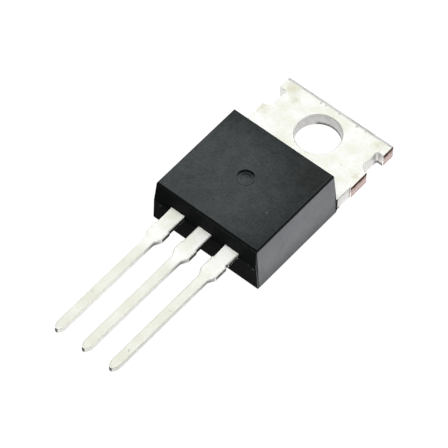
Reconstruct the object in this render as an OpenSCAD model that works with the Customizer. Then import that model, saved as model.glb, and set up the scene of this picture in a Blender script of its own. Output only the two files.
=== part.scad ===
// Three-lead power transistor in a moulded package with a screw-down heat tab.
// The origin is the screw hole's axis at the tab's back face. The marked face looks to +Z,
// the tab's free end points to +Y and the leads run out along -Y.

/* [Moulded body] */
// Width of the body at its back face
body_w = 10; // [9.8:0.1:10.4]
// Length of the body from the wall on the tab to the front parting line
body_l = 9.2; // [9:0.1:9.8]
// Height of the marked face above the back face
body_h = 4.44; // [4.3:0.02:4.8]
// Lean of each side wall from the back face up to the marked face
side_lean = 0.28; // [0.1:0.02:0.4]
// Lean of the front wall from the parting line up to the marked face
front_lean = 0.18; // [0.05:0.01:0.3]
// Lean of the front wall from the parting line down to the back face
front_undercut = 0.1; // [0.05:0.01:0.2]
// Height of the plastic's back face above the tab's back face
sole_recess = 0.08; // [0.02:0.02:0.12]
// Lean of the rear wall from the tab's face up to the marked face
rear_lean = 0.22; // [0.1:0.02:0.4]
// Reach of the moulded ears that close on the tab's flanks behind the rear wall
ear_l = 0.19; // [0.1:0.01:0.3]
// Length of the bevel that brings each ear in to the tab's flank
ear_bevel = 0.34; // [0.2:0.02:0.5]

/* [Ejector mark] */
// Diameter of the ejector mark at the marked face
mark_d = 1.44; // [1:0.04:2]
// Diameter of the ejector mark's floor
mark_floor_d = 1.2; // [0.8:0.04:1.6]
// Depth of the ejector mark
mark_depth = 0.1; // [0.05:0.01:0.2]
// Diameter of the pin's centre recess in the floor
mark_centre_d = 0.84; // [0.4:0.04:1]
// Depth of the centre recess below the floor
mark_centre_depth = 0.03; // [0.01:0.01:0.06]
// Distance of the ejector mark behind the parting line
mark_y = 4.72; // [3.5:0.1:5.5]
// Offset of the ejector mark to the left of the middle
mark_x = 0.1; // [0:0.05:0.5]

/* [Heat tab] */
// How far the body stands out past the tab's corner lobes on each side
tab_side_gap = 0.05; // [0:0.01:0.15]
// Thickness of the tab
tab_t = 1.3; // [1.2:0.05:1.4]
// Diameter of the screw hole
hole_d = 3.6; // [3.2:0.1:4]
// Bevel on both rims of the screw hole
hole_bevel = 0.08; // [0.04:0.01:0.12]
// Distance from the hole's axis to the tab's free end
hole_to_end = 2.76; // [2.5:0.05:3]
// Distance from the hole's axis to the body's rear wall
hole_to_body = 3.85; // [3.6:0.05:4.1]
// Depth of the side notches
notch_depth = 0.6; // [0.5:0.05:0.8]
// Length of each corner lobe along the tab's edge
lobe_l = 1.22; // [0.9:0.05:1.4]
// Length of each side notch along the tab's edge
notch_l = 1.92; // [1.7:0.05:2.1]
// Radius in the notch's corner beside the lobe
notch_lobe_r = 0.18; // [0.1:0.02:0.25]
// Radius in the notch's corner beside the tie bar stub
notch_stub_r = 0.55; // [0.4:0.05:0.6]
// Length of the sheared tie bar stub
stub_l = 1.9; // [1.5:0.1:2]
// How far the tie bar stubs stand out from the tab's flanks
stub_h = 0.09; // [0.05:0.01:0.15]

/* [Die paddle] */
// Plastic beside the paddle on each side
paddle_side_cover = 0.75; // [0.7:0.05:1]
// Plastic in front of the paddle, measured from the parting line
paddle_cover = 1.35; // [1.1:0.05:1.6]
// Depth from the rear wall to where the tab narrows to the paddle
paddle_start = 0.45; // [0.3:0.05:0.6]
// Width of the coined step that the plastic grips under the paddle's edges
coin_w = 0.3; // [0.2:0.05:0.4]
// Height of the coined step
coin_h = 0.5; // [0.3:0.05:0.6]
// Width of the locking groove across the paddle's face
groove_w = 0.4; // [0.3:0.05:0.5]
// Depth of the locking groove
groove_depth = 0.2; // [0.1:0.02:0.3]
// Distance of the locking groove from the body's rear wall
groove_y = 0.95; // [0.85:0.05:1.1]

/* [Leads] */
// Distance between neighbouring leads
lead_pitch = 2.54; // [2.44:0.02:2.64]
// Thickness of the lead strip
lead_t = 0.5; // [0.4:0.02:0.6]
// Height of the leads' underside above the back face
lead_lift = 2.45; // [2.3:0.05:2.6]
// Length of the leads out of the parting line
lead_l = 13.25; // [12:0.25:14.5]
// Width of the leads' narrow part
lead_w = 0.8; // [0.7:0.02:0.9]
// Width of the leads' shoulders
shoulder_w = 1.27; // [1.15:0.01:1.35]
// Length of the shoulders out of the parting line
shoulder_l = 2.6; // [2.3:0.05:3]
// Length of the taper from the shoulder to the narrow part
shoulder_taper = 0.55; // [0.3:0.05:0.8]
// Width over the sheared dam bar stubs
dam_w = 1.42; // [1.36:0.01:1.55]
// Length of the sheared dam bar stubs
dam_l = 0.92; // [0.7:0.02:1.1]
// Length of the rounded point
point_l = 0.62; // [0.4:0.02:0.8]
// Width of the cut end at the point
point_w = 0.3; // [0.2:0.02:0.5]
// Radius of the arcs that lead to the cut end
point_r = 1.2; // [0.9:0.1:2]
// Length of the source lead's dam bar stubs, which were sheared longer
long_dam_l = 1.36; // [1.2:0.02:1.5]
// Diameter of the shear nick at the rear end of the source lead's outer stub
nick_d = 0.3; // [0.2:0.02:0.4]

/* [Bonding posts] */
// Plastic in front of the bonding posts, measured from the parting line
post_cover = 0.4; // [0.3:0.05:0.5]
// Length of the bonding posts along the leads
post_l = 1.25; // [1.1:0.05:1.4]
// Gap between the bonding posts and the centre lead
post_gap = 0.55; // [0.45:0.05:0.65]
// Plastic beside the source post, measured from the body's back edge
source_post_cover = 0.865; // [0.7:0.005:1]
// Plastic beside the gate post, measured from the body's back edge
gate_post_cover = 1.465; // [1:0.005:1.6]
// Corner cut on the posts
post_chamfer = 0.3; // [0.1:0.05:0.4]
// Run of the sloping neck between the paddle and the centre lead
neck_run = 0.6; // [0.45:0.05:0.7]
// Length of the neck's root that lies in the paddle
neck_root = 0.5; // [0.4:0.05:0.7]

/* [Die] */
// Width of the silicon die
die_w = 4.4; // [3.8:0.1:5]
// Length of the silicon die
die_l = 3.6; // [3:0.1:4]
// Thickness of the silicon die
die_t = 0.3; // [0.2:0.02:0.4]
// Distance from the paddle's front edge to the die
die_setback = 1.15; // [1:0.05:1.5]
// Thickness of the solder layer under the die
solder_t = 0.06; // [0.04:0.01:0.1]
// Solder that shows round the die
solder_margin = 0.15; // [0.1:0.01:0.25]

/* [Bond wires] */
// Diameter of the source wires
source_wire_d = 0.38; // [0.3:0.02:0.42]
// Diameter of the gate wire
gate_wire_d = 0.13; // [0.1:0.01:0.2]
// Length of the flat bonds at the ends of the source wires
source_bond_l = 0.6; // [0.4:0.05:0.7]
// Length of the flat bonds at the ends of the gate wire
gate_bond_l = 0.35; // [0.25:0.05:0.45]
// Height of the wire loops' control points above the posts
loop_rise = 0.75; // [0.5:0.05:0.9]
// Distance between the two source wires on the die
source_wire_gap = 1.1; // [0.8:0.05:1.3]
// Distance between the two source wires on the post
post_wire_gap = 1; // [0.7:0.05:1.2]
// Distance of the gate bond from the die's edges
gate_bond_inset = 0.45; // [0.35:0.05:0.6]

/* [Hidden] */
$fn = 96;
// Overshoot of a cut past the face that it opens
over = 0.5;
tab_w = body_w - 2 * tab_side_gap;
notch_x = tab_w / 2 - notch_depth;
waist_w = tab_w - 2 * stub_h;
paddle_w = body_w - 2 * paddle_side_cover;
rear_y = -hole_to_body;
front_y = rear_y - body_l;
ear_y = rear_y + ear_l;
lead_top = lead_lift + lead_t;
lobe_y = hole_to_end - lobe_l;
stub_y = lobe_y - notch_l;
waist_y = stub_y - stub_l;
paddle_rear_y = rear_y - paddle_start;
paddle_front_y = front_y + paddle_cover;
post_front_y = front_y + post_cover;
post_rear_y = post_front_y + post_l;
post_inner_x = shoulder_w / 2 + post_gap;
source_post_w = body_w / 2 - source_post_cover - post_inner_x;
gate_post_w = body_w / 2 - gate_post_cover - post_inner_x;
shoulder_end_y = front_y - shoulder_l;
lead_end_y = front_y - lead_l;
point_y = lead_end_y + point_l;
solder_top = tab_t + solder_t;
die_top = solder_top + die_t;
die_front_y = paddle_front_y + die_setback;
die_rear_y = die_front_y + die_l;

// Value between a and b, from a at share 0 to b at share 1
function mix(a, b, share) = a + (b - a) * share;
// Point of a cubic curve with four control points
function cubic(p, s) = pow(1 - s, 3) * p[0] + 3 * pow(1 - s, 2) * s * p[1]
    + 3 * (1 - s) * s * s * p[2] + pow(s, 3) * p[3];

// Bonded wires
// A wire lies in an upright plane: a flat bond on the die, a loop and a flat bond on the post.
// Flat sides round a wire, with one of them down on the face that it is bonded to
wire_sides = 8;
// Steps along a loop
loop_steps = 14;
// Share of the wire's length over which it climbs from its first bond
climb = 0.1;
// Share of the loop after which it comes down
crest = 0.6;
// Rise of the loop's second control point over its first
crest_rise = 0.2;
// Places of the inner and the outer source bond, as shares of the die's length from its front edge
source_bond_place = [0.7, 0.5];

// Height of a wire's axis above the face that its flat side lies on
function seat(d) = d / 2 * cos(180 / wire_sides);
// Distance in plan between a wire's two ends
function span(a, b) = norm([b[0] - a[0], b[1] - a[1]]);
// Axis of a wire as points of distance in plan and height, from height z0 to height z1
function wire_axis(length, bond, z0, z1, top) = let (
    control = [[bond, z0], [bond + climb * length, top],
               [mix(bond, length - bond, crest), top + crest_rise], [length - bond, z1]])
    concat([[0, z0]], [for (i = [0 : loop_steps]) cubic(control, i / loop_steps)], [[length, z1]]);
// Direction of the axis at a point, level over the bonds
function heading(p, i) = i < 2 || i > len(p) - 3 ? [1, 0]
    : (p[i + 1] - p[i - 1]) / norm(p[i + 1] - p[i - 1]);
// Corners round the axis at a point, with one flat side down
function ring(p, i, d) = let (h = heading(p, i)) [for (k = [0 : wire_sides - 1])
    let (a = (k + 0.5) * 360 / wire_sides, out = d / 2 * sin(a), up = d / 2 * cos(a))
        [p[i][0] - h[1] * up, out, p[i][1] + h[0] * up]];

module wire(from, to, z_from, z_to, d, bond) {
    length = span(from, to);
    axis = wire_axis(length, bond, z_from + seat(d), z_to + seat(d), lead_top + loop_rise);
    rings = len(axis);
    corners = [for (i = [0 : rings - 1]) each ring(axis, i, d)];
    walls = [for (i = [0 : rings - 2], k = [0 : wire_sides - 1])
        let (a = i * wire_sides + k, b = i * wire_sides + (k + 1) % wire_sides)
            each [[a, b, b + wire_sides], [a, b + wire_sides, a + wire_sides]]];
    first = [for (k = [wire_sides - 1 : -1 : 0]) k];
    last = [for (k = [0 : wire_sides - 1]) (rings - 1) * wire_sides + k];
    translate([from[0], from[1], 0])
        rotate([0, 0, atan2(to[1] - from[1], to[0] - from[0])])
            polyhedron(corners, concat(walls, [first, last]));
}

module gate_wire_shape() {
    wire([-die_w / 2 + gate_bond_inset, die_front_y + gate_bond_inset + gate_bond_l],
         [-post_inner_x - gate_post_w / 2, post_front_y + post_l / 2 - gate_bond_l / 2],
         die_top, lead_top, gate_wire_d, gate_bond_l);
}

// side is 0 for the wire nearer the middle and 1 for the wire nearer the body's side
module source_wire_shape(side) {
    wire([die_w / 4 + (side - 0.5) * source_wire_gap,
          mix(die_front_y, die_rear_y, source_bond_place[side])],
         [post_inner_x + source_post_w / 2 + (side - 0.5) * post_wire_gap, post_front_y + post_l / 4],
         die_top, lead_top, source_wire_d, source_bond_l);
}

// Lead frame
// Fill that rounds the corner of a cut, with the corner at the origin and the cut in +X and +Y
module corner_fill(r) {
    difference() {
        translate([-over, -over]) square(r + over);
        translate([r, r]) circle(r);
    }
}

// One side notch, open to +X, between the corner lobe and the tie bar stub
module side_notch() {
    difference() {
        translate([notch_x, stub_y]) square([tab_w, notch_l]);
        translate([notch_x, lobe_y]) mirror([0, 1]) corner_fill(notch_lobe_r);
        translate([notch_x, stub_y]) corner_fill(notch_stub_r);
    }
}

// Blanked outline of the tab and the paddle
module tab_outline() {
    difference() {
        union() {
            translate([-tab_w / 2, waist_y]) square([tab_w, hole_to_end - waist_y]);
            translate([-waist_w / 2, paddle_rear_y]) square([waist_w, waist_y - paddle_rear_y + over]);
            translate([-paddle_w / 2, paddle_front_y])
                square([paddle_w, paddle_rear_y - paddle_front_y + over]);
        }
        for (side = [0, 1]) mirror([side, 0]) side_notch();
    }
}

// Steps coined into the paddle's back, so that the plastic grips under its edges
module coined_steps() {
    for (side = [0, 1]) mirror([side, 0, 0])
        translate([paddle_w / 2 - coin_w, paddle_front_y - over, -over])
            cube([coin_w + over, paddle_rear_y - paddle_front_y + over, coin_h + over]);
    translate([-paddle_w / 2 - over, paddle_front_y - over, -over])
        cube([paddle_w + 2 * over, coin_w + over, coin_h + over]);
}

// Groove across the paddle's face that locks the plastic
module locking_groove() {
    translate([-paddle_w, rear_y - groove_y, tab_t]) rotate([90, 0, 90])
        linear_extrude(2 * paddle_w)
            polygon([[-groove_w / 2, 0], [groove_w / 2, 0], [0, -groove_depth]]);
}

module screw_hole() {
    r = hole_d / 2;
    translate([0, 0, -over]) cylinder(r = r, h = tab_t + 2 * over);
    cylinder(r1 = r + hole_bevel, r2 = r, h = hole_bevel);
    translate([0, 0, tab_t - hole_bevel]) cylinder(r1 = r, r2 = r + hole_bevel, h = hole_bevel);
}

module heat_tab() {
    difference() {
        linear_extrude(tab_t) tab_outline();
        coined_steps();
        locking_groove();
        screw_hole();
    }
}

// Cut outside the arc that runs from the lead's side to its cut end, on the +X side
module point_cut() {
    side = [lead_w / 2, point_y];
    end = [point_w / 2, lead_end_y];
    half = norm(side - end) / 2;
    inward = [end[1] - side[1], side[0] - end[0]] / (2 * half);
    difference() {
        translate([0, lead_end_y - over]) square([lead_w, point_l + over]);
        translate((side + end) / 2 + inward * sqrt(point_r * point_r - half * half)) circle(point_r);
    }
}

// Outline of one lead from start_y to its point, with its axis on x = 0
module lead_outline(start_y, stub = dam_l) {
    dam_y = shoulder_end_y + stub;
    right = [[shoulder_w / 2, start_y], [shoulder_w / 2, dam_y], [dam_w / 2, dam_y],
             [dam_w / 2, shoulder_end_y], [lead_w / 2, shoulder_end_y - shoulder_taper],
             [lead_w / 2, lead_end_y]];
    left = [for (i = [len(right) - 1 : -1 : 0]) [-right[i][0], right[i][1]]];
    difference() {
        polygon(concat(right, left));
        for (side = [0, 1]) mirror([side, 0]) point_cut();
    }
}

// Side view of the bent strip, from the root in the paddle up the neck and out to the point
module bent_strip() {
    root_z = tab_t - lead_t;
    rise = lead_lift - root_z;
    miter = lead_t * tan(atan2(rise, neck_run) / 2);
    foot_y = paddle_front_y - miter;
    head_y = foot_y - neck_run;
    under = [[paddle_front_y + neck_root, root_z], [foot_y, root_z], [head_y, lead_lift],
             [lead_end_y - over, lead_lift]];
    upper = [[lead_end_y - over, lead_top], [head_y + miter, lead_top], [foot_y + miter, tab_t],
             [paddle_front_y + neck_root, tab_t]];
    translate([-tab_w / 2, 0, 0]) rotate([90, 0, 90]) linear_extrude(tab_w) polygon(concat(under, upper));
}

module drain_lead() {
    intersection() {
        linear_extrude(body_h) lead_outline(paddle_front_y + neck_root);
        bent_strip();
    }
}

module heat_tab_and_drain_lead_shape() {
    heat_tab();
    drain_lead();
}

// Bonding post, from the gap beside the centre lead out to the right
module post_outline(width) {
    translate([post_inner_x, post_front_y])
        polygon([[post_chamfer, 0], [width, 0], [width, post_l - post_chamfer],
                 [width - post_chamfer, post_l], [0, post_l], [0, post_chamfer]]);
}

module gate_lead_shape() {
    translate([0, 0, lead_lift]) {
        linear_extrude(lead_t) mirror([1, 0]) post_outline(gate_post_w);
        linear_extrude(lead_t) translate([-lead_pitch, 0]) lead_outline(post_rear_y - post_chamfer);
    }
}

module source_lead_shape() {
    translate([0, 0, lead_lift]) {
        linear_extrude(lead_t) post_outline(source_post_w);
        linear_extrude(lead_t) translate([lead_pitch, 0]) difference() {
            lead_outline(post_rear_y - post_chamfer, long_dam_l);
            translate([dam_w / 2, shoulder_end_y + long_dam_l]) circle(d = nick_d);
        }
    }
}

// Die and its solder
module block(width, y0, y1, z0, z1) {
    translate([-width / 2, y0, z0]) cube([width, y1 - y0, z1 - z0]);
}

module silicon_die_shape() {
    block(die_w, die_front_y, die_rear_y, solder_top, die_top);
}

module die_solder_shape() {
    block(die_w + 2 * solder_margin, die_front_y - solder_margin, die_rear_y + solder_margin,
          tab_t, solder_top);
}

// Moulded body
// Drafted block: the end view runs along the leads and the side view runs across them
module drafted_block() {
    intersection() {
        translate([0, ear_y + over, 0]) rotate([90, 0, 0]) linear_extrude(body_l + ear_l + 2 * over)
            polygon([[-body_w / 2, sole_recess], [body_w / 2, sole_recess],
                     [body_w / 2 - side_lean, body_h], [side_lean - body_w / 2, body_h]]);
        translate([-body_w, 0, 0]) rotate([90, 0, 90]) linear_extrude(2 * body_w)
            polygon([[front_y + front_undercut, sole_recess], [front_y, lead_lift],
                     [front_y + front_lean, body_h], [rear_y - rear_lean, body_h], [rear_y, tab_t],
                     [ear_y, tab_t], [ear_y, sole_recess]]);
    }
}

// Bevel that brings one ear in to the tab's flank
module ear_cut() {
    translate([0, 0, -over]) linear_extrude(tab_t + over)
        polygon([[waist_w / 2, ear_y], [body_w / 2, ear_y - ear_bevel], [body_w, ear_y - ear_bevel],
                 [body_w, ear_y + over], [waist_w / 2, ear_y + over]]);
}

module ejector_mark() {
    translate([-mark_x, front_y + mark_y, body_h - mark_depth]) {
        cylinder(d1 = mark_floor_d, d2 = mark_d, h = mark_depth);
        translate([0, 0, -mark_centre_depth]) cylinder(d = mark_centre_d, h = mark_depth);
        translate([0, 0, mark_depth]) cylinder(d = mark_d, h = over);
    }
}

module epoxy_body_shape() {
    difference() {
        drafted_block();
        for (side = [0, 1]) mirror([side, 0, 0]) ear_cut();
        ejector_mark();
        heat_tab_and_drain_lead_shape();
        gate_lead_shape();
        source_lead_shape();
        silicon_die_shape();
        die_solder_shape();
        gate_wire_shape();
        source_wire_shape(0);
        source_wire_shape(1);
    }
}

module epoxy_body() {
    color([0.16, 0.17, 0.165]) epoxy_body_shape();
}

module heat_tab_and_drain_lead() {
    color([0.86, 0.86, 0.8]) heat_tab_and_drain_lead_shape();
}

module gate_lead() {
    color([0.84, 0.84, 0.79]) gate_lead_shape();
}

module source_lead() {
    color([0.84, 0.84, 0.79]) source_lead_shape();
}

module silicon_die() {
    color([0.35, 0.37, 0.42]) silicon_die_shape();
}

module die_solder() {
    color([0.6, 0.6, 0.58]) die_solder_shape();
}

module gate_wire() {
    color([0.9, 0.9, 0.92]) gate_wire_shape();
}

module source_wire_inner() {
    color([0.9, 0.9, 0.92]) source_wire_shape(0);
}

module source_wire_outer() {
    color([0.9, 0.9, 0.92]) source_wire_shape(1);
}

epoxy_body();
heat_tab_and_drain_lead();
gate_lead();
source_lead();
silicon_die();
die_solder();
gate_wire();
source_wire_inner();
source_wire_outer();
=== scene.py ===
# %% [markdown]
# # Dressing a power transistor
# The real object is a power transistor: a chip soldered to a copper tab, wired to two leads and
# moulded into black epoxy resin. The frame holds its nine solids at their real size. They have
# every length right, but their edges are knife sharp and their faces bare.
# All of it could be modelled again by hand, but a copy that starts from the solids can't drift
# from them. So this notebook rounds their edges as a press and a mould would, lets the resin flow
# round the metal, and gives each surface its finish. We start by loading the frame.

# %% Load the frame
import math

import bmesh
import bpy
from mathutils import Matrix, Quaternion, Vector


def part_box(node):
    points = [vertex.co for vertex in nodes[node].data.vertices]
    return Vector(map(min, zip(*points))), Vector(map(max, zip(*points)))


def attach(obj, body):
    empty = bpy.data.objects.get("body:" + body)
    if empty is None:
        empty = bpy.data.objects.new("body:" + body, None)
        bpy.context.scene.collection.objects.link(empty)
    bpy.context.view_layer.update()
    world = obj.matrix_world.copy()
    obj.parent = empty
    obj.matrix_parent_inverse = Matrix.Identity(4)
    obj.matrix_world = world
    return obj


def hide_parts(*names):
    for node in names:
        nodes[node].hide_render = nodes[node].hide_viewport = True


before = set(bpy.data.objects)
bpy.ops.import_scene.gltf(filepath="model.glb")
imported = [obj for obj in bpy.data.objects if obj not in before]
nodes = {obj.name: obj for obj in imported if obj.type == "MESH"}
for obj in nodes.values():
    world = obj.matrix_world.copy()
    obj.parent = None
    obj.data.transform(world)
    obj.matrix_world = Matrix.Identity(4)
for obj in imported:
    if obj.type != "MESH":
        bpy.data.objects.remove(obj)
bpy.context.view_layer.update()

MM = 0.001

# %% [markdown]
# ## Measure before making
# A piece that is dressed has to stay where the bare one was. Its planes could be typed in again,
# but then they would be wrong as soon as the part's source changes. So they are read from the
# boxes of the solids: the wall with the parting line, the ends of the ears, the marked face, and
# the faces of the tab and the leads.

# %% Planes of the part
body_low, body_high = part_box("epoxy_body")
gate_low, gate_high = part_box("gate_lead")
half_w = body_high.x
front_y = body_low.y
ears_y = body_high.y
sole_z = body_low.z
marked_z = body_high.z
tab_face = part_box("die_solder")[0].z
free_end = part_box("heat_tab_and_drain_lead")[1].y
lead_under = gate_low.z
lead_face = gate_high.z
tip_y = gate_low.y
print(f"the body runs from y {front_y / MM:.2f} to {ears_y / MM:.2f} mm, "
      f"the leads lie {lead_under / MM:.2f} mm up")

# %% [markdown]
# ## The photograph's eye
# The camera stands a long way off with a long lens, so that parallel edges stay nearly parallel,
# as in a catalogue picture. Its place was solved from thirty corners of the real part. It could be
# given as three turns about the axes, but a point to look from, a point to look at and a small
# roll say the same thing in words that can be read.

# %% Camera
eye = Vector((99.226, -132.096, 223.303)) * MM
aim = Vector((0.2623, -11.1556, 2.0)) * MM
roll = math.radians(0.909)

camera = bpy.data.objects.new("camera", bpy.data.cameras.new("camera"))
camera.data.sensor_width = 36
camera.data.lens = 300.16
camera.data.clip_start = 10 * MM
camera.data.clip_end = 10
camera.rotation_mode = "QUATERNION"
camera.rotation_quaternion = (aim - eye).to_track_quat("-Z", "Y") @ Quaternion((0, 0, 1), roll)
camera.location = eye
bpy.context.scene.collection.objects.link(camera)
bpy.context.scene.camera = camera
print(f"the camera is {(aim - eye).length / MM:.0f} mm from the part")

# %% [markdown]
# ## Whole faces again
# The real faces are whole, but the frame's meshes are triangles, and each face has its own
# corners. Edges can't be rounded on such a mesh. Remeshing would soften every corner, so the
# copy is only welded, and the triangles that lie in one plane are dissolved back into one face.
# The frame's own mesh is never touched. A trial on one lead shows what is gained.

# %% Helpers for meshes
WELD = 0.0002 * MM
FLAT = math.radians(0.4)


def whole_faces(node):
    """A mesh copy of one solid with each flat face in one piece."""
    bm = bmesh.new()
    bm.from_mesh(nodes[node].data)
    bmesh.ops.remove_doubles(bm, verts=bm.verts, dist=WELD)
    bmesh.ops.dissolve_limit(bm, angle_limit=FLAT, verts=bm.verts, edges=bm.edges)
    return bm


def new_piece(name, bm):
    """Turns a bmesh into an object that rides on the part."""
    mesh = bpy.data.meshes.new(name)
    bm.to_mesh(mesh)
    bm.free()
    piece = bpy.data.objects.new(name, mesh)
    bpy.context.scene.collection.objects.link(piece)
    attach(piece, "root")
    return piece


trial = whole_faces("gate_lead")
print(f"{len(nodes['gate_lead'].data.polygons)} triangles of a lead become {len(trial.faces)} faces")
trial.free()

# %% [markdown]
# ## Edges as a press leaves them
# A punch drags the metal down before it cuts, so the upper rim of a blanked part is rolled over
# and its lower rim stays nearly sharp. Several bevels, one after the other, could give each rim
# its radius, but they would leave dents where they meet. Here each edge gets a radius of its own,
# stored as a weight on the mesh, and a single bevel modifier then cuts all of them at once.

# %% Radii
LARGEST = 0.25 * MM
SHARP = math.radians(25)


def convex(edge):
    """True if the edge is an outer corner and sharp."""
    return len(edge.link_faces) == 2 and edge.calc_face_angle_signed(0) > SHARP


def give_radii(bm, rules):
    """Stores a bevel weight on every sharp outer edge that a rule takes."""
    weight = bm.edges.layers.float.new("bevel_weight_edge")
    taken = 0
    for edge in filter(convex, bm.edges):
        middle = (edge.verts[0].co + edge.verts[1].co) / 2
        radius = next((r for takes, r in rules if takes(edge, middle)), None)
        if radius:
            edge[weight] = radius / LARGEST
            taken += 1
    return taken


def bevel_by_weight(piece, finish=0):
    """Rounds the weighted edges and gives the round stretches the finish with this number."""
    bevel = piece.modifiers.new("rounded edges", "BEVEL")
    bevel.width = LARGEST
    bevel.segments = 3
    bevel.limit_method = "WEIGHT"
    bevel.use_clamp_overlap = False
    bevel.material = finish


def smooth(piece):
    """Shades round stretches smooth and keeps the flats flat."""
    piece.data.shade_smooth()
    piece.data.set_sharp_from_angle(angle=math.radians(40))
    weighted = piece.modifiers.new("flat faces first", "WEIGHTED_NORMAL")
    weighted.keep_sharp = True


print(f"a weight of 1 stands for {LARGEST / MM} mm")

# %% [markdown]
# ## Telling the edges apart
# The real strip has a rolled rim at its free end, nearly sharp ones round the hole and the cut tie
# bars, and well rounded ones along the leads, which have to slip into a board. Edges could be
# picked by their numbers, but the numbers change with every new mesh. So an edge is told by where
# it lies. What lies in the resin keeps its sharp rims, because nobody sees it.

# %% Where an edge lies
NEAR = 0.001 * MM
hole_r = 1.8 * MM
tie_bar_root = 4.85 * MM


def on_plane(edge, z):
    """True if the edge lies in the level plane at height z."""
    return all(abs(v.co.z - z) < NEAR for v in edge.verts)


def upright(edge):
    a, b = (v.co for v in edge.verts)
    return (a - b).xy.length < NEAR


def outside(middle):
    """True outside the resin, with a little to spare behind the wall."""
    return middle.y > ears_y - 0.6 * MM or middle.y < front_y + 0.3 * MM


def near_hole(middle):
    return middle.xy.length < hole_r + 0.2 * MM


def at_free_end(edge):
    return all(v.co.y > free_end - NEAR for v in edge.verts)


def at_point(edge):
    return all(v.co.y < tip_y + NEAR for v in edge.verts)


def at_tie_bar(edge):
    """True for the straight edges round the cut ends and beside them."""
    a, b = (v.co.x for v in edge.verts)
    return min(abs(a), abs(b)) > tie_bar_root and abs(a - b) < NEAR


print(f"the free end lies at y {free_end / MM:.2f} mm, the points at y {tip_y / MM:.2f} mm")

# %% [markdown]
# ## A radius for each kind of edge
# The rules are asked from the top, and the first one that takes an edge gives its radius. That
# keeps the list as short as a drawing's table of radii: special rims first, common ones last. The
# free end rolls over most, because nothing held the metal there.

# %% Rules for the edges of the strip
strip_rules = [
    (lambda e, m: at_point(e), 0.02 * MM),
    (lambda e, m: near_hole(m), 0.02 * MM),
    (lambda e, m: at_free_end(e) and on_plane(e, 0), 0.25 * MM),
    (lambda e, m: at_free_end(e) and on_plane(e, tab_face), 0.16 * MM),
    (lambda e, m: m.y > ears_y and at_tie_bar(e), 0.03 * MM),
    (lambda e, m: outside(m) and on_plane(e, tab_face), 0.1 * MM),
    (lambda e, m: on_plane(e, 0), 0.04 * MM),
    (lambda e, m: m.y > ears_y and upright(e), 0.08 * MM),
    (lambda e, m: outside(m) and on_plane(e, lead_face), 0.1 * MM),
    (lambda e, m: outside(m) and on_plane(e, lead_under), 0.06 * MM),
    (lambda e, m: m.y < front_y and upright(e), 0.05 * MM),
]
radii = [radius / MM for takes, radius in strip_rules]
print(f"{len(strip_rules)} rules, with radii from {min(radii):.2f} to {max(radii):.2f} mm")

# %% [markdown]
# ## Faces by the way they were made
# Five kinds of surface meet on the real strip: the rolled faces, the sheared ends of the tie bars
# and of the dam bar, the cut points and the punched flanks. A mask in one big material could tell
# them apart, but a number on each face is exact up to the edge. The numbers are given now, while
# the faces are whole, and the materials follow later.

# %% Faces of the strip
pitch = 2.54 * MM
past_flank = 4.88 * MM
past_shoulder = 0.66 * MM


def sideways(normal):
    return abs(normal.x) > 0.9


def lead_reach(centre):
    """Distance across from the axis of the nearest lead."""
    return abs(centre.x - pitch * round(centre.x / pitch))


strip_faces = {
    "rolled face": lambda n, c: abs(n.z) > 0.3,
    "tie bar end": lambda n, c: sideways(n) and abs(c.x) > past_flank and c.y > ears_y,
    "dam bar end": lambda n, c: sideways(n) and c.y < front_y and lead_reach(c) > past_shoulder,
    "cut point": lambda n, c: n.y < -0.9 and c.y < tip_y + 0.1 * MM,
    "punched flank": lambda n, c: True,
}


def give_finishes(bm, kinds):
    """Numbers each face by the first kind that it fits, for the materials to come."""
    for face in bm.faces:
        centre = face.calc_center_median()
        fits = (i for i, kind in enumerate(kinds.values()) if kind(face.normal, centre))
        face.material_index = next(fits)


print("kinds of face:", ", ".join(strip_faces))

# %% [markdown]
# ## The heat tab with the centre lead
# Tab, paddle, neck and centre lead are one strip of copper. It could be drawn anew as a curve with
# a thickness, but the solid has the outline already. So its copy gets the numbers and the radii,
# is bevelled and then stands in for the solid. The flats are shaded by their own normals, so that
# the rounded rims don't pull a shadow across them.

# %% Heat tab and drain lead
def dress_metal(node, name):
    """Rounds one piece of the strip and lets it stand in for its solid."""
    bm = whole_faces(node)
    give_finishes(bm, strip_faces)
    taken = give_radii(bm, strip_rules)
    piece = new_piece(name, bm)
    bevel_by_weight(piece)
    smooth(piece)
    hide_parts(node)
    print(f"{name}: {taken} edges get a radius")
    return piece


heat_tab = dress_metal("heat_tab_and_drain_lead", "tinned_heat_tab")

# %% [markdown]
# ## The two outer leads
# They come from the same strip and the same tool. A mirrored copy of one could serve as the other,
# but their bonding posts in the resin differ. So each solid goes through the same function, and
# gets the same radii by the same rules.

# %% Gate and source lead
gate_lead = dress_metal("gate_lead", "tinned_gate_lead")
source_lead = dress_metal("source_lead", "tinned_source_lead")
strip_pieces = (heat_tab, gate_lead, source_lead)
print(f"{len(strip_pieces)} metal pieces are dressed")

# %% [markdown]
# ## The mould's leans
# A mould leans every wall a little, so that the part drops out. The body's solid is full of the
# metal's openings, which would stop a clean bevel. So its outer form is drawn again as a plain
# block, and the openings follow later. These are the leans, the bevels of the two ears that grip
# the tab's flanks, and the hair of resin that crept into the seam between the mould's halves.

# %% Sizes of the mould
front_lean = 0.18 * MM
front_lower_lean = 0.1 * MM
rear_lean = 0.22 * MM
side_lean = 0.28 * MM
ear_reach = 0.19 * MM
ear_bevel = 0.34 * MM
flank_x = 4.86 * MM
seam_h = 0.02 * MM
seam_w = 0.05 * MM
wall_y = ears_y - ear_reach
lean_angle = math.degrees(math.atan2(side_lean, marked_z - sole_z))
print(f"the sides lean by {lean_angle:.1f} degrees")

# %% [markdown]
# ## The moulded body
# A cube with moved corners would do for the leaning walls, but not for the ears and the seam. The
# body's side view has them all, so it is drawn as one outline and pulled across the width. Planes
# then cut the two leaning sides and the bevels of the ears, as a mould maker would think of it.

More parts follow.
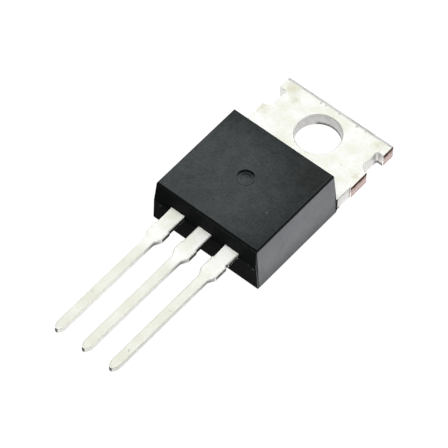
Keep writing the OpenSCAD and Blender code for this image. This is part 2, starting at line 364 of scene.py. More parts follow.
# %% Body block
def cut(bm, point, normal):
    """Cuts away what lies in front of a plane and closes the cut."""
    whole = bm.verts[:] + bm.edges[:] + bm.faces[:]
    made = bmesh.ops.bisect_plane(bm, geom=whole, plane_co=point, plane_no=normal, clear_outer=True)
    rim = [g for g in made["geom_cut"] if isinstance(g, bmesh.types.BMEdge)]
    bmesh.ops.contextual_create(bm, geom=rim)


def body_block():
    """The body's outer form, closed and without openings."""
    side_view = [
        (front_y + front_lower_lean, sole_z),
        (front_y, lead_under - seam_w),
        (front_y - seam_h, lead_under),
        (front_y, lead_under + seam_w),
        (front_y + front_lean, marked_z),
        (wall_y - rear_lean, marked_z),
        (wall_y, tab_face),
        (ears_y, tab_face),
        (ears_y, sole_z),
    ]
    bm = bmesh.new()
    start = [bm.verts.new((-2 * half_w, y, z)) for y, z in side_view]
    face = bm.faces.new(start)
    pulled = bmesh.ops.extrude_face_region(bm, geom=[face])["geom"]
    far = [g for g in pulled if isinstance(g, bmesh.types.BMVert)]
    bmesh.ops.translate(bm, verts=far, vec=(4 * half_w, 0, 0))
    bmesh.ops.recalc_face_normals(bm, faces=bm.faces)
    for side in (-1, 1):
        low = Vector((side * half_w, 0, sole_z))
        cut(bm, low, (side * (marked_z - sole_z), 0, side_lean))
        ear = Vector((side * flank_x, ears_y, 0))
        cut(bm, ear, (side * ear_bevel, half_w - flank_x, 0))
    bmesh.ops.recalc_face_normals(bm, faces=bm.faces)
    return bm


block = body_block()
print(f"the plain block has {len(block.faces)} faces")

# %% [markdown]
# ## Rims of the body
# The real body's rims are rounder at the front and on the right, as if the mould had worn there.
# One radius all round would be simpler, but it would lose that. So a table of rules gives the
# radii, as for the strip. The bevel puts its round stretches into a second slot, so that they can
# have a finish of their own, and both slots are kept free for now.

# %% Radii of the body
def two_slots(mesh):
    """Keeps a slot for the faces and one for the rims, to be filled later."""
    mesh.materials.append(None)
    mesh.materials.append(None)


def in_worn_rim(middle):
    """True on the right and at the front, where the mould has worn."""
    return middle.x > half_w - 0.5 * MM or middle.y < front_y + 0.5 * MM


def at_ears(middle):
    return middle.y > wall_y - rear_lean and middle.z < tab_face + 0.01 * MM


body_rules = [
    (lambda e, m: at_ears(m), 0.03 * MM),
    (lambda e, m: on_plane(e, marked_z) and in_worn_rim(m), 0.18 * MM),
    (lambda e, m: m.z > sole_z + 0.01 * MM, 0.07 * MM),
    (lambda e, m: True, 0.05 * MM),
]
print(f"{give_radii(block, body_rules)} edges of the body get a radius")
body = new_piece("moulded_body", block)
two_slots(body.data)
bevel_by_weight(body, finish=1)

# %% [markdown]
# ## The ejector's print
# A pin pushes the soft part out of the mould and leaves a shallow round print. A bump in the
# material would look flat from the side, so it is cut. A lathe makes the cutter: its section runs
# from the axis over the centre recess and the floor up the flank, and flares out at the top, so
# that the print's rim comes out rounded.

# %% Ejector print
print_at = Vector((-0.1 * MM, -8.33 * MM, marked_z))
print_section = [
    (0, -0.13), (0.38, -0.13), (0.41, -0.122), (0.435, -0.106), (0.455, -0.1), (0.60, -0.1),
    (0.62, -0.09), (0.705, -0.018), (0.745, 0), (0.80, 0.02), (0, 0.02),
]


def lathe(name, section, at):
    """Turns a section of radius and height round an upright axis."""
    bm = bmesh.new()
    points = [bm.verts.new((r * MM, 0, z * MM)) for r, z in section]
    rim = [bm.edges.new(pair) for pair in zip(points, points[1:])]
    bmesh.ops.spin(bm, geom=points + rim, cent=(0, 0, 0), axis=(0, 0, 1), angle=2 * math.pi,
                   steps=64, use_merge=True)
    bmesh.ops.remove_doubles(bm, verts=bm.verts, dist=WELD)
    bmesh.ops.recalc_face_normals(bm, faces=bm.faces)
    bmesh.ops.translate(bm, verts=bm.verts, vec=at)
    bm.normal_update()
    for face in bm.faces:
        face.material_index = int(abs(face.normal.z) < 0.95)
    mesh = bpy.data.meshes.new(name)
    two_slots(mesh)
    bm.to_mesh(mesh)
    bm.free()
    return bpy.data.objects.new(name, mesh)


def subtract(piece, tools, name):
    """Cuts each tool from the piece with an exact boolean."""
    group = bpy.data.collections.new(name)
    for tool in tools:
        group.objects.link(tool)
    boolean = piece.modifiers.new(name, "BOOLEAN")
    boolean.operand_type = "COLLECTION"
    boolean.collection = group
    boolean.operation = "DIFFERENCE"
    boolean.solver = "EXACT"


ejector = lathe("ejector_cutter", print_section, print_at)
bpy.context.scene.collection.objects.link(ejector)
subtract(body, [ejector], "ejector print")
print(f"the cutter has {len(ejector.data.polygons)} faces")

# %% [markdown]
# ## Resin round the metal
# The resin takes the shape of whatever it flows round, rounded rims too. The openings could be
# drawn to the leads' sizes, but they would gape at each rounded rim. So the dressed metal and the
# chip with its wires are cut out of the block. An exact boolean does that, and the openings where
# the leads come out then close on them without a gap.

# %% Resin round the inserts
def apply_modifiers(piece):
    """Puts the evaluated mesh in the place of the drawn one."""
    bpy.context.view_layer.update()
    made = piece.evaluated_get(bpy.context.evaluated_depsgraph_get())
    mesh = bpy.data.meshes.new_from_object(made)
    piece.modifiers.clear()
    piece.data = mesh


bonded = ("silicon_die", "die_solder", "gate_wire", "source_wire_inner", "source_wire_outer")
subtract(body, [*strip_pieces, *(nodes[name] for name in bonded)], "held in the resin")
apply_modifiers(body)
bpy.data.objects.remove(ejector)
smooth(body)
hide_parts("epoxy_body")
print(f"the body has {len(body.data.polygons)} faces")

# %% [markdown]
# ## A short way to write a finish
# A node material is a picture of how a surface came about: a colour, how rough it is and how it
# is dented. Each node could be added and linked line by line, but the recipe would drown in
# wiring. A small class adds the nodes and feeds them, so that a finish reads like a sum. All
# lengths in it are millimetres on the part, so a mark can be placed as if with a ruler.

# %% Helpers for nodes
class Nodes:
    """A node material that is written as sums and blends."""

    def __init__(self, name):
        self.material = bpy.data.materials.new(name)
        self.material.use_nodes = True
        self.tree = self.material.node_tree
        self.surface = self.tree.nodes["Principled BSDF"]
        spot = self.tree.nodes.new("ShaderNodeTexCoord").outputs["Object"]
        self.place = self.vector("SCALE", spot, scale=1 / MM)

    def feed(self, socket, value):
        """Links another node's output, or sets a plain value."""
        if isinstance(value, bpy.types.NodeSocket):
            self.tree.links.new(value, socket)
        else:
            socket.default_value = value

    def vector(self, operation, first, second=(0, 0, 0), scale=1.0):
        node = self.tree.nodes.new("ShaderNodeVectorMath")
        node.operation = operation
        self.feed(node.inputs[0], first)
        if operation == "SCALE":
            node.inputs["Scale"].default_value = scale
        else:
            self.feed(node.inputs[1], second)
        return node.outputs["Value" if operation == "DISTANCE" else "Vector"]

    def math(self, operation, first, second=0.0):
        node = self.tree.nodes.new("ShaderNodeMath")
        node.operation = operation
        self.feed(node.inputs[0], first)
        self.feed(node.inputs[1], second)
        return node.outputs[0]

    def part(self, axis):
        """One coordinate of the point, by its letter."""
        node = self.tree.nodes.new("ShaderNodeSeparateXYZ")
        self.feed(node.inputs[0], self.place)
        return node.outputs[axis]

    def ease(self, value, low, high, start=0.0, end=1.0):
        """Goes from start to end while the value goes from low to high."""
        node = self.tree.nodes.new("ShaderNodeMapRange")
        node.interpolation_type = "SMOOTHSTEP"
        self.feed(node.inputs["Value"], value)
        for name, number in zip(("From Min", "From Max", "To Min", "To Max"),
                                (low, high, start, end)):
            node.inputs[name].default_value = number
        return node.outputs[0]

    def blend(self, share, first, second):
        """Mixes two colours."""
        node = self.tree.nodes.new("ShaderNodeMix")
        node.data_type = "RGBA"
        self.feed(node.inputs[0], share)
        for socket, colour in ((node.inputs[6], first), (node.inputs[7], second)):
            self.feed(socket, (*colour, 1) if isinstance(colour, tuple) else colour)
        return node.outputs[2]

    def wear(self, **inputs):
        """Sets the surface's inputs; an underscore stands for a blank."""
        for name, value in inputs.items():
            self.feed(self.surface.inputs[name.replace("_", " ")], value)
        print(f"{self.material.name}: {len(self.tree.nodes)} nodes")


print("a finish can use", ", ".join(name for name in vars(Nodes) if not name.startswith("_")))

# %% [markdown]
# ## Clouds, marks and dents
# Real surfaces vary in two ways. Some of it is even, such as grain and clouds, and noise does it
# well. The rest happened once, at one place, such as a scuff. A painted picture could hold both,
# but it would blur up close. So three more helpers build them from noise and distance, and the
# edge of each mark is made ragged by shifting the point a little before it is measured.

# %% Helpers for surfaces
class Finish(Nodes):
    """A node material with clouds, marks and dents."""

    def clouds(self, size, detail=2, stretch=(1, 1, 1)):
        """Noise between 0 and 1 with lumps of about the size given."""
        spread = self.vector("MULTIPLY", self.place, [1 / (size * s) for s in stretch])
        node = self.tree.nodes.new("ShaderNodeTexNoise")
        self.feed(node.inputs["Vector"], spread)
        node.inputs["Scale"].default_value = 1
        node.inputs["Detail"].default_value = detail
        return node.outputs["Fac"]

    def marks(self, places, ragged=0.3, core=0.6):
        """One in the core of each ragged mark, given as x, y, z and radius, and none outside."""
        node = self.tree.nodes.new("ShaderNodeTexNoise")
        self.feed(node.inputs["Vector"], self.place)
        node.inputs["Scale"].default_value = 5
        shift = self.vector("SCALE", self.vector("SUBTRACT", node.outputs["Color"], (0.5, 0.5, 0.5)),
                            scale=ragged)
        point = self.vector("ADD", self.place, shift)
        mask = 0.0
        for x, y, z, radius in places:
            away = self.vector("DISTANCE", point, (x, y, z))
            mask = self.math("MAXIMUM", self.ease(away, radius * 1.2, radius * core), mask)
        return mask

    def dents(self, height, depth, under=None):
        """Bumps the surface by a height map, on top of other bumps."""
        node = self.tree.nodes.new("ShaderNodeBump")
        node.inputs["Strength"].default_value = 1
        node.inputs["Distance"].default_value = depth * MM
        self.feed(node.inputs["Height"], height)
        if under:
            self.feed(node.inputs["Normal"], under)
        return node.outputs[0]


print("it also has", ", ".join(name for name in vars(Finish) if not name.startswith("_")))

# %% [markdown]
# ## Black epoxy
# Epoxy resin filled with soot and quartz is nearly black. Little light gets into it, and most of
# what is seen is the studio in its skin. One flat dark grey would do for the numbers, but it looks
# like a hole in the picture. So the colour has soft clouds, darker wisps, a browner corner where a
# film from the mould was left, and a few light specks from handling.

# %% Resin colour
black = (0.0095, 0.0145, 0.0150)
charcoal = (0.014, 0.0185, 0.0180)
brown = (0.017, 0.0145, 0.0105)
jet = (0.005, 0.0068, 0.0066)
dust = (0.075, 0.078, 0.078)

resin = Finish("black epoxy")
x, y, z = (resin.part(axis) for axis in "XYZ")
broad = resin.clouds(2.6, detail=3)
soot = resin.blend(resin.ease(broad, 0.35, 0.7), black, charcoal)
film_corner = (5.2, -3.6, 4.4)
browner = resin.ease(resin.vector("DISTANCE", resin.place, film_corner), 5.5, 1.5)
soot = resin.blend(resin.math("MULTIPLY", browner, 0.5), soot, brown)
wisps = resin.ease(resin.clouds(0.45, detail=5), 0.42, 0.62, 0.0, 0.35)
soot = resin.blend(wisps, soot, jet)
specks_at = [
    (-4.22, -12.48, 4.44, 0.09), (3.07, -9.74, 4.44, 0.12), (-2.88, -12.9, 4.42, 0.1),
    (-4.2, -13.08, 2.26, 0.08), (4.13, -13.06, 2.46, 0.09), (4.53, -13.06, 2.3, 0.08),
    (4.78, -8.0, 3.98, 0.1),
]
specks = resin.marks(specks_at, ragged=0.12)
soot = resin.blend(specks, soot, dust)
print(f"{len(specks_at)} specks lie on the resin")

# %% [markdown]
# ## The blasted walls, with painted shade
# The mould was grit blasted where it forms the front wall and the ears, which leaves both rougher
# than the rest. Their colour is painted blacker than the rest as painted shade, the front wall's
# upper half most. They could be faces with a material of their own, but the change runs softly
# over the rims. So a mask made from the position tells them from the marked face. The seam
# between the mould's halves shows as a row of faint lighter patches along the front wall.

# %% Blasted walls with painted shade
# Painted shade: these wall colours are blacker than the marked face, the upper front wall darkest.
shaded_lower_wall = (0.0090, 0.0086, 0.0086)
shaded_upper_wall = (0.0046, 0.0052, 0.0050)
seam_lighter = (0.024, 0.023, 0.024)
bright_dust = (0.10, 0.10, 0.10)

wall_top = (front_y + front_lean) / MM
ears_from = (ears_y - ear_bevel) / MM
face_at = marked_z / MM
seam_at = lead_under / MM
below_rim = resin.ease(z, face_at - 0.02, face_at - 0.08)
front = resin.math("MULTIPLY", resin.ease(y, wall_top + 0.07, wall_top + 0.01), below_rim)
blasted_and_shaded = resin.math("MAXIMUM", front, resin.ease(y, ears_from - 0.06, ears_from - 0.01))
off_seam = resin.math("ABSOLUTE", resin.math("SUBTRACT", z, seam_at - 0.03))
seam = resin.math("MULTIPLY", resin.ease(resin.clouds(0.5, detail=3), 0.45, 0.7),
                  resin.ease(off_seam, 0.16, 0.02))
upper_half = resin.ease(z, seam_at - 0.15, seam_at + 0.05)
wall = resin.blend(upper_half, shaded_lower_wall, shaded_upper_wall)
wall = resin.blend(resin.math("MULTIPLY", seam, 0.8), wall, seam_lighter)
wall = resin.blend(specks, wall, bright_dust)
resin_colour = resin.blend(blasted_and_shaded, soot, wall)
print(f"blasted in front of y {wall_top:.2f} mm and behind y {ears_from:.2f} mm")

# %% [markdown]
# ## The resin's shine
# The rest of the mould was eroded by sparks, which left it finely pitted. One roughness for all
# would give an even sheen that no casting has, so clouds of three sizes vary it. The film dulls
# the marked face towards its far corner. The side walls mirror more at the top and less towards
# the bottom, which is painted shade of the table next to the body that they mirror.

# %% Resin shine
side_at = (half_w - side_lean) / MM
film_free = (-2.2, -10.5, 4.4)
side = resin.ease(resin.math("ABSOLUTE", x), side_at - 0.04, side_at + 0.02)
patches = resin.ease(resin.clouds(0.8, detail=4), 0.3, 0.7, -0.045, 0.045)
mottle = resin.ease(resin.clouds(0.2, detail=3), 0.3, 0.7, -0.05, 0.05)
uneven = resin.math("MULTIPLY", resin.math("ADD", patches, mottle), resin.ease(side, 0, 1, 1.0, 0.3))
film = resin.ease(resin.vector("DISTANCE", resin.place, film_free), 3, 9)
film = resin.math("MULTIPLY", film, resin.ease(z, face_at - 0.14, face_at - 0.04))
rough = resin.math("ADD", resin.ease(broad, 0.3, 0.7, 0.38, 0.44), uneven)
rough = resin.math("ADD", rough, resin.math("MULTIPLY", film, 0.25))
rough = resin.math("ADD", rough, resin.math("MULTIPLY", blasted_and_shaded, 0.3))
# Painted shade: the side walls' sheen fades towards the bottom.
sheen_shade_by_height = resin.ease(z, 0.0, 4.2, -0.35, 0.55)
shine = resin.math("ADD", 0.5, resin.math("MULTIPLY", side, sheen_shade_by_height))
shine = resin.math("MULTIPLY", shine, resin.ease(blasted_and_shaded, 0, 1, 1.0, 0.1))
shine = resin.math("MULTIPLY", shine, resin.ease(film, 0, 1, 1.0, 0.74))
grain = resin.dents(resin.clouds(0.05, detail=2), 0.004)
grain = resin.dents(resin.clouds(0.16, detail=2), 0.006, under=grain)
resin.wear(Base_Color=resin_colour, Roughness=rough, IOR=1.55, Normal=grain,
           Specular_IOR_Level=shine)

# %% [markdown]
# ## The rims of the resin
# The mould's corners were polished, so the rims are smoother than the faces between them. They
# draw a dark line round the marked face, where they mirror the unlit side of the studio. The first
# material could hold them behind one more mask, but a second material on the bevel's faces is
# simpler. The rims along the two sides mirror less than those at the front and at the back.

# %% Resin rims
polished = (0.006, 0.0075, 0.0075)
chipped = (0.02, 0.02, 0.02)

rim = Finish("polished resin rim")
chips = rim.clouds(0.18, detail=3)
rim_colour = rim.blend(rim.ease(chips, 0.62, 0.74), polished, chipped)
rim_shine = rim.ease(rim.math("ABSOLUTE", rim.part("X")), 4.5, 4.6, 0.5, 0.25)
rim.wear(Base_Color=rim_colour, Roughness=rim.ease(chips, 0.3, 0.7, 0.20, 0.30), IOR=1.5,
         Specular_IOR_Level=rim_shine, Normal=rim.dents(chips, 0.004))

# %% [markdown]
# ## Matt tin
# The strip is tinned before it is cut to length. Matt tin is a soft, fine-grained silver that
# handling turns slightly yellow. A white metal alone looks like new foil. So two sizes of clouds
# carry the yellow, the tarnish sits where fingers hold the tab, and the leads are a little greyer
# than the tab.

# %% Tin colour
fresh = (0.94, 0.945, 0.925)
handled = (0.885, 0.90, 0.82)
yellowed = (0.84, 0.85, 0.76)
lead_tone = (0.80, 0.805, 0.72)
tarnished = (0.74, 0.73, 0.58)

tin = Finish("matt tin")
y, z = (tin.part(axis) for axis in "YZ")
broad = tin.clouds(1.3, detail=4)
small = tin.clouds(0.22, detail=3)
tin_colour = tin.blend(tin.ease(broad, 0.36, 0.68), fresh, handled)
tin_colour = tin.blend(tin.ease(small, 0.50, 0.68, 0.0, 0.45), tin_colour, yellowed)
tin_colour = tin.blend(tin.ease(y, -16, -17.5, 0, 0.7), tin_colour, lead_tone)
fingers_at = [
    (-4.1, 2.1, 1.3, 0.75), (3.96, 2.05, 1.3, 0.6), (-4.71, -0.7, 1.3, 0.7),
    (4.5, -1.2, 1.3, 0.5), (-3.2, 1.3, 1.3, 0.4),
]
tarnish = tin.marks(fingers_at, ragged=1.1, core=0.0)
tin_colour = tin.blend(tin.math("MULTIPLY", tarnish, 0.75), tin_colour, tarnished)
print(f"{len(fingers_at)} places on the tab are tarnished")

# %% [markdown]
# ## Scuffs in the tin
# Parts knock together in their tube, and the knocks leave small grey marks. Evenly spread noise
# would look like a pattern and not like wear, so the marks are placed one by one: half of them
# along the free end, one on the tab and the rest on the leads. The rolled rim of the free end is
# painted grey over its whole length, in streaks, as painted shade of its rounding.

# %% Scuffs
scuffed = (0.42, 0.41, 0.36)
lighter_rim_shade = (0.64, 0.64, 0.63)
darker_rim_shade = (0.40, 0.40, 0.40)

scuffs_at = [
    (-3.5, 2.55, 1.3, 0.1), (-1.64, 2.40, 1.3, 0.12), (-1.25, 2.42, 1.3, 0.1),
    (0.08, 2.46, 1.3, 0.12), (1.78, 2.40, 1.3, 0.12), (2.54, 2.48, 1.3, 0.1),
    (3.06, -1.06, 1.3, 0.05),
    (-2.65, -22.24, 2.95, 0.09), (0.41, -24.6, 2.92, 0.09), (2.64, -19.09, 2.95, 0.07),
    (2.65, -19.95, 2.95, 0.06), (2.59, -24.38, 2.95, 0.08),
]
scuffs = tin.marks(scuffs_at, ragged=0.35)
tin_colour = tin.blend(tin.math("MULTIPLY", scuffs, 0.6), tin_colour, scuffed)

end_at = free_end / MM
# Painted shade: the rolled rim of the free end is coloured grey in streaks.
rolled = tin.math("MULTIPLY", tin.ease(y, end_at - 0.36, end_at - 0.20), tin.ease(z, 0.9, 1.1))
streaks = tin.ease(tin.clouds(0.35, detail=4, stretch=(2.5, 1, 1)), 0.42, 0.62)
grey = tin.blend(streaks, lighter_rim_shade, darker_rim_shade)
tin_colour = tin.blend(tin.math("MULTIPLY", rolled, 0.75), tin_colour, grey)
print(f"{len(scuffs_at)} scuffs are placed")

# %% [markdown]
# ## Dark lower rims
# A thin dark line runs along the lower rim in the right notch and on the far side of the hole. It
# is painted shade at the foot of the rim. The line could be a thin piece of its own, but it has no
# thickness. It is a chain of marks instead, worked out along the hole, that the tin and the
# flanks share.

# %% Shaded lower rims
# Painted shade: a dark line along the lower rims of the notch and the hole.
rim_shade_dark = (0.05, 0.05, 0.05)
rim_shade_places = [(4.35, 1.38, 0, 0.32), (4.5, 1.54, 0, 0.36), (4.8, 1.54, 0, 0.36)]
for turn in range(40, 134, 12):
    across = hole_r / MM * math.cos(math.radians(turn))
    along = hole_r / MM * math.sin(math.radians(turn))
    rim_shade_places.append((across, along, 0, 0.40))
lower_rim = tin.math("MULTIPLY", tin.ease(z, 0.0, 0.006), tin.ease(z, 0.06, 0.045))
rim_shade_mask = tin.math("MULTIPLY", tin.marks(rim_shade_places, ragged=0.1), lower_rim)
tin_colour = tin.blend(tin.math("MULTIPLY", rim_shade_mask, 0.85), tin_colour, rim_shade_dark)
print(f"{len(rim_shade_places)} marks make the two dark lines")

# %% [markdown]
# ## The tin's shine
# Matt tin scatters light widely, so its roughness is high. Deep bumps would turn it into hammered
# metal, so they are only a few thousandths of a millimetre: the grain of the plating, the long
# lines from rolling the copper, and slow waves that make the light run unevenly over the tab.

# %% Tin shine
rough = tin.ease(broad, 0.3, 0.7, 0.60, 0.66)
rough = tin.math("ADD", rough, tin.math("MULTIPLY", small, 0.06))
skin = tin.dents(tin.clouds(0.05, detail=2), 0.0015)
skin = tin.dents(tin.clouds(0.12, detail=2, stretch=(1, 14, 1)), 0.0015, under=skin)
skin = tin.dents(tin.clouds(0.9, detail=2), 0.008, under=skin)
tin.wear(Base_Color=tin_colour, Metallic=1, Roughness=rough, Normal=skin)

# %% [markdown]
# ## Tinned flanks
# The long flanks were punched before plating. The punch leaves fine upright lines in them, which
# the tin follows, and they shine less than the rolled faces. The tin's own material could be
# darkened there, but the lines run another way than the rolling marks, so the flanks have one of
# their own. Close to the body they are painted black, as painted shade of the body.

# %% Flanks
even_grey = (0.47, 0.465, 0.445)
dull_grey = (0.41, 0.40, 0.38)
near_body_shade_black = (0.03, 0.03, 0.032)

flank = Finish("tinned flank")
y = flank.part("Y")
cloudy = flank.ease(flank.clouds(0.5, detail=3), 0.35, 0.7)
flank_colour = flank.blend(cloudy, even_grey, dull_grey)
# Painted shade: the same dark line on the flanks.
rim_shade_mask = flank.math("MULTIPLY", flank.marks(rim_shade_places, ragged=0.1), 0.85)
flank_colour = flank.blend(rim_shade_mask, flank_colour, rim_shade_dark)
# Painted shade: close to the body the flanks are coloured black.
near_body_shade = flank.math("MULTIPLY", flank.ease(y, -15.7, -15.6), flank.ease(y, -8.0, -9.0))
flank_colour = flank.blend(flank.math("MULTIPLY", near_body_shade, 0.9), flank_colour, near_body_shade_black)
lines = flank.clouds(0.05, detail=2, stretch=(1, 1, 12))
flank.wear(Base_Color=flank_colour, Metallic=1, Roughness=0.5, Normal=flank.dents(lines, 0.002))

# %% [markdown]
# ## Sheared copper
# The tie bars were cut after plating, so their ends show bare copper. A shear cut has two zones:
# the blade first slides along and burnishes a dark band, then the rest tears off rough and pink.
# Two strips of faces could carry them, but the border between them is never straight. So the
# height, made wavy by noise, tells them apart. The band is at the top, so the blade came from the
# marked side.

# %% Sheared ends
pale_pink = (0.355, 0.260, 0.230)
deep_pink = (0.215, 0.143, 0.124)
painted_highlight_pink = (0.44, 0.37, 0.35)
burnished_brown = (0.095, 0.051, 0.034)

shear = Finish("sheared copper")
wave = shear.ease(shear.clouds(0.4, detail=2), 0.3, 0.7, -0.05, 0.05)
wavy = shear.math("ADD", shear.part("Z"), wave)
burnished = shear.ease(wavy, 0.86, 0.93)
torn = shear.clouds(0.09, detail=4, stretch=(1, 1, 2.5))
pink = shear.blend(shear.ease(torn, 0.40, 0.62), pale_pink, deep_pink)
# Painted highlight: a paler band across the middle of the torn zone.
streak = shear.ease(shear.math("ABSOLUTE", shear.math("SUBTRACT", wavy, 0.45)), 0.2, 0.05)
pink = shear.blend(shear.math("MULTIPLY", streak, 0.5), pink, painted_highlight_pink)
copper = shear.blend(burnished, pink, burnished_brown)
shear.wear(Base_Color=copper, Metallic=shear.ease(burnished, 0, 1, 0.9, 0.0), Roughness=0.5,
           Specular_IOR_Level=0, Normal=shear.dents(torn, 0.02))

# %% [markdown]
# ## Cut stubs of the dam bar
# The dam bar that joined the leads was cut away too. Its stubs show the same two zones on a
# smaller scale, and they are greyer. The tie bars' material can't be shared, because the border
# between the zones lies at another height here.

# %% Sheared stubs
light_stub = (0.40, 0.37, 0.35)
dark_stub = (0.28, 0.24, 0.22)
burnished_black = (0.03, 0.027, 0.025)

stub = Finish("sheared stub")
torn = stub.clouds(0.08, detail=3, stretch=(1, 1, 2))
wave = stub.ease(stub.clouds(0.3, detail=2), 0.3, 0.7, -0.05, 0.05)
dark = stub.ease(stub.math("ADD", stub.part("Z"), wave), 2.72, 2.77)
stub_colour = stub.blend(stub.ease(torn, 0.4, 0.7), light_stub, dark_stub)
stub_colour = stub.blend(dark, stub_colour, burnished_black)
stub.wear(Base_Color=stub_colour, Metallic=stub.ease(dark, 0, 1, 1.0, 0.0), Roughness=0.5,
          Specular_IOR_Level=0.1, Normal=stub.dents(torn, 0.015))

# %% [markdown]
# ## Cut points
# The rail that held the leads' ends is cut off as well. The points could have both zones too, but
# they are so small that only a dark, torn end is seen of them. So one cloud between near black
# and brown is enough.

# %% Cut points
near_black = (0.012, 0.010, 0.010)
copper_brown = (0.10, 0.06, 0.05)

point = Finish("cut point")
torn = point.clouds(0.07, detail=3)
point_colour = point.blend(point.ease(torn, 0.45, 0.75), near_black, copper_brown)
point.wear(Base_Color=point_colour, Metallic=0.4, Roughness=0.55, Normal=point.dents(torn, 0.02))

# %% [markdown]
# ## Handing out the finishes
# The faces were numbered before the bevel, so the flats know their finish already. The bevel gave
# the round stretches of the metal the first finish and those of the body the second one. The
# numbers could be worked out again from the bevelled mesh, but it is safer to keep them. Filling a
# mesh's slots resets them, so they are noted first and put back afterwards.

# %% Give the finishes
def dress(piece, finishes, numbers):
    """Fills the material slots of a piece and numbers its faces."""
    piece.data.materials.clear()
    for finish in finishes:
        piece.data.materials.append(finish.material)
    piece.data.polygons.foreach_set("material_index", numbers)
    print(piece.name, [numbers.count(i) for i in range(len(finishes))], "faces by finish")


dress(body, [resin, rim], [int(p.material_index == 1) for p in body.data.polygons])
for piece in strip_pieces:
    dress(piece, [tin, shear, stub, point, flank], [p.material_index for p in piece.data.polygons])

# %% [markdown]
# ## The chip in the resin
# The chip shows only when the body is taken off. Its top is aluminium in fine cells, and its
# flanks are sawn silicon. The solid is a plain plate already, and modelled cells would be finer
# than a hair. So it keeps its shape, and one material tells the top from the flanks by height.

# %% Chip
bright_cell = (0.72, 0.73, 0.75)
dull_cell = (0.60, 0.61, 0.64)
sawn_silicon = (0.10, 0.11, 0.13)

chip = Finish("silicon chip")
chip_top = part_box("silicon_die")[1].z / MM
cells = chip.ease(chip.clouds(0.06, detail=1, stretch=(1, 20, 1)), 0.4, 0.6)
metal_top = chip.ease(chip.part("Z"), chip_top - 0.02, chip_top - 0.005)
aluminium = chip.blend(cells, bright_cell, dull_cell)
chip_colour = chip.blend(metal_top, sawn_silicon, aluminium)
chip.wear(Base_Color=chip_colour, Metallic=metal_top, Roughness=chip.ease(cells, 0, 1, 0.2, 0.3),
          Normal=chip.dents(cells, 0.001))

# %% [markdown]
# ## Solder and wires
# The solder under the chip froze in soft ripples, and the wires carry the long marks of the die
# that they were drawn through. Their solids keep their shape as well. Clouds do for the ripples,
# and finer clouds, drawn out in one direction, do for the marks on the wires.

# %% Solder and wires
solder = Finish("soft solder")
ripples = solder.clouds(0.25, detail=3)
solder_colour = solder.blend(ripples, (0.58, 0.58, 0.57), (0.46, 0.46, 0.45))
solder.wear(Base_Color=solder_colour, Metallic=1, Normal=solder.dents(ripples, 0.004),
            Roughness=solder.ease(ripples, 0.3, 0.7, 0.38, 0.52))

wire = Finish("drawn aluminium")
drawn = wire.clouds(0.03, detail=2, stretch=(14, 1, 1))
wire_colour = wire.blend(drawn, (0.90, 0.90, 0.92), (0.80, 0.80, 0.82))
wire.wear(Base_Color=wire_colour, Metallic=1, Normal=wire.dents(drawn, 0.0015),
          Roughness=wire.ease(drawn, 0.3, 0.7, 0.22, 0.34))

for name, finish in zip(bonded, (chip, solder, wire, wire, wire)):
    nodes[name].material_slots[0].material = finish.material
print(f"{len(bonded)} hidden pieces have a finish")

# %% [markdown]
# ## The stage
# A catalogue picture stands on pure white. A lit floor would take the part's shadow and turn grey
# around it. So a large sheet glows by itself: it is white to the camera at every angle, while the
# metal and the resin don't mirror it. What they mirror are the cards of the next step.

# %% Stage paint and sweep
def glow(name, colour, strength, matt=0.0):
    """A paint that shines by itself, with a little matt white in it."""
    material = bpy.data.materials.new(name)
    material.use_nodes = True
    shader = material.node_tree.nodes["Principled BSDF"]
    shader.inputs["Base Color"].default_value = (matt, matt, matt, 1)
    shader.inputs["Roughness"].default_value = 1
    shader.inputs["Specular IOR Level"].default_value = 0
    shader.inputs["Emission Color"].default_value = (*colour, 1)
    shader.inputs["Emission Strength"].default_value = strength
    return material


def card(name, outline, z, paint):
    """A flat piece of the stage, its outline and height in millimetres."""
    mesh = bpy.data.meshes.new(name)
    mesh.from_pydata([(x * MM, y * MM, z * MM) for x, y in outline], [], [range(len(outline))])
    mesh.materials.append(paint)
    piece = bpy.data.objects.new(name, mesh)
    bpy.context.scene.collection.objects.link(piece)
    return piece


def ring(radius, steps=64):
    turns = [2 * math.pi * i / steps for i in range(steps)]
    return [(radius * math.cos(t), radius * math.sin(t)) for t in turns]


sweep_r = 3000
sweep = card("pale_sweep", ring(sweep_r), 0, glow("pale sweep", (1, 1, 1), 0.93, 0.2))
sweep.visible_diffuse = False
sweep.visible_glossy = False
sweep.visible_shadow = False
print(f"the sweep is {2 * sweep_r * MM:.0f} m across")

# %% [markdown]
# ## Cards on the table
# Polished and matt metal alike are as bright as what they mirror. The flanks look down at the
# table, so the table has to be lit, but with a gap in front of the body, whose front wall is black
# in the picture. More lamps could light the flanks, but they would bleach the faces too. Light
# linking gives one card to the metal alone and one to the resin alone. The camera sees none.

# %% Table cards
def link_group(name, pieces):
    """A collection that names the pieces that a lamp or a card lights."""
    group = bpy.data.collections.new(name)
    for piece in pieces:
        group.objects.link(piece)
    return group


metal = link_group("metal", strip_pieces)
metal_and_sweep = link_group("metal and sweep", [*strip_pieces, sweep])
plastic = link_group("plastic", [body])

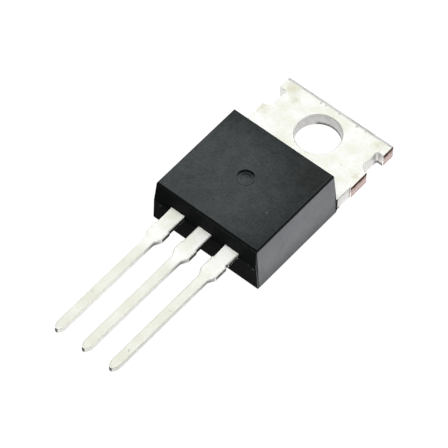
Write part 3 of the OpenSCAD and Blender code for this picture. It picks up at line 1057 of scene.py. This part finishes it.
table_outline = [(-90, -13), (-90, 70), (90, 70), (90, -22), (5.05, -22), (5.05, -3.4),
                 (-5.3, -3.4), (-5.3, -13)]
lead_outline = [(-30, -40), (30, -40), (30, -15.6), (-5.5, -15.6), (-5.5, -13), (-30, -13)]
far_outline = [(6.3, -30), (60, -30), (60, 10), (6.3, 10)]
lit_paint = glow("lit table", (0.98, 0.98, 1.0), 2.1)
table_card = card("lit_table", table_outline, -0.02, lit_paint)
hole_card = card("hole_shade", ring(hole_r / MM + 0.1), -0.015, glow("hole shade", (0.97, 0.97, 1), 1.5))
lead_card = card("lead_card", lead_outline, -0.015, lit_paint)
lead_card.light_linking.receiver_collection = metal
far_card = card("far_card", far_outline, -0.01, glow("far card", (0.93, 0.94, 1.0), 1.10))
far_card.light_linking.receiver_collection = plastic
cards = (table_card, hole_card, lead_card, far_card)
for piece in cards:
    piece.visible_camera = False
    piece.visible_shadow = False
print(f"{len(cards)} cards lie on the table")

# %% [markdown]
# ## Lamps
# A softbox behind the part gives the resin its sheen, and a long low one adds a little to it at
# the far corner. A fill from the front only has to lift the black, so it isn't mirrored. The metal
# has lamps of its own, because one set can't keep the tin white and the resin black. Its softbox
# passes through the body, as a retoucher would lift the shadow at the roots of the leads, and an
# overhead box whitens the matt tin and the ground.

# %% Lamps
def area_light(name, azimuth, height, size, power, distance=0.45):
    """A soft lamp that looks at the part, placed by angles in degrees round it."""
    lamp = bpy.data.lights.new(name, "AREA")
    lamp.shape = "RECTANGLE"
    lamp.size, lamp.size_y = size
    lamp.energy = power
    holder = bpy.data.objects.new(name, lamp)
    a, h = math.radians(azimuth), math.radians(height)
    away = Vector((math.cos(h) * math.cos(a), math.cos(h) * math.sin(a), math.sin(h)))
    holder.location = aim + away * distance
    holder.rotation_mode = "QUATERNION"
    holder.rotation_quaternion = away.to_track_quat("Z", "Y")
    bpy.context.scene.collection.objects.link(holder)
    return holder


overhead = area_light("overhead", 270, 83, (0.60, 0.50), 1.95, distance=0.5)
overhead.light_linking.receiver_collection = metal_and_sweep

softbox = area_light("softbox", 105, 50, (0.70, 0.30), 1.14)
softbox.data.color = (0.91, 1.0, 1.0)
back_wall = area_light("back_wall", 105, 18, (1.00, 0.22), 0.55)
front_fill = area_light("front_fill", 275, 8, (0.40, 0.20), 2.0)
front_fill.visible_glossy = False
rim_light = area_light("rim_light", 176, 24, (0.30, 0.30), 0.3)
resin_lamps = (softbox, back_wall, front_fill, rim_light)
for lamp in resin_lamps:
    lamp.light_linking.receiver_collection = plastic

metal_softbox = area_light("metal_softbox", 105, 50, (0.70, 0.30), 0.63)
metal_softbox.light_linking.blocker_collection = metal
metal_softbox.data.cycles.use_multiple_importance_sampling = False
right_card = area_light("right_card", 32, 22, (0.40, 0.42), 0.75)
left_card = area_light("left_card", 150, 22, (0.40, 0.42), 0.45)
metal_lamps = (metal_softbox, right_card, left_card)
for lamp in metal_lamps:
    lamp.light_linking.receiver_collection = metal
print(f"{1 + len(resin_lamps) + len(metal_lamps)} lamps")

# %% [markdown]
# ## Room light
# Every studio has some light that comes from everywhere. A bright sky would wash out the black, so
# the world is a plain white at a few hundredths of full strength. The view is set to the standard
# one, because a film-like curve would turn the white ground grey.

# %% Room light
world = bpy.data.worlds.new("studio")
world.use_nodes = True
room = world.node_tree.nodes["Background"]
room.inputs["Color"].default_value = (1, 1, 1, 1)
room.inputs["Strength"].default_value = 0.04
bpy.context.scene.world = world
bpy.context.scene.view_settings.view_transform = "Standard"
print(f"the room shines at {room.inputs['Strength'].default_value:.2f} of full strength")

# %% [markdown]
# ## Sizes
# The dressed part has to stay inside the bare one's box. It could be judged by eye, but a slip of
# a hundredth of a millimetre can't be seen.
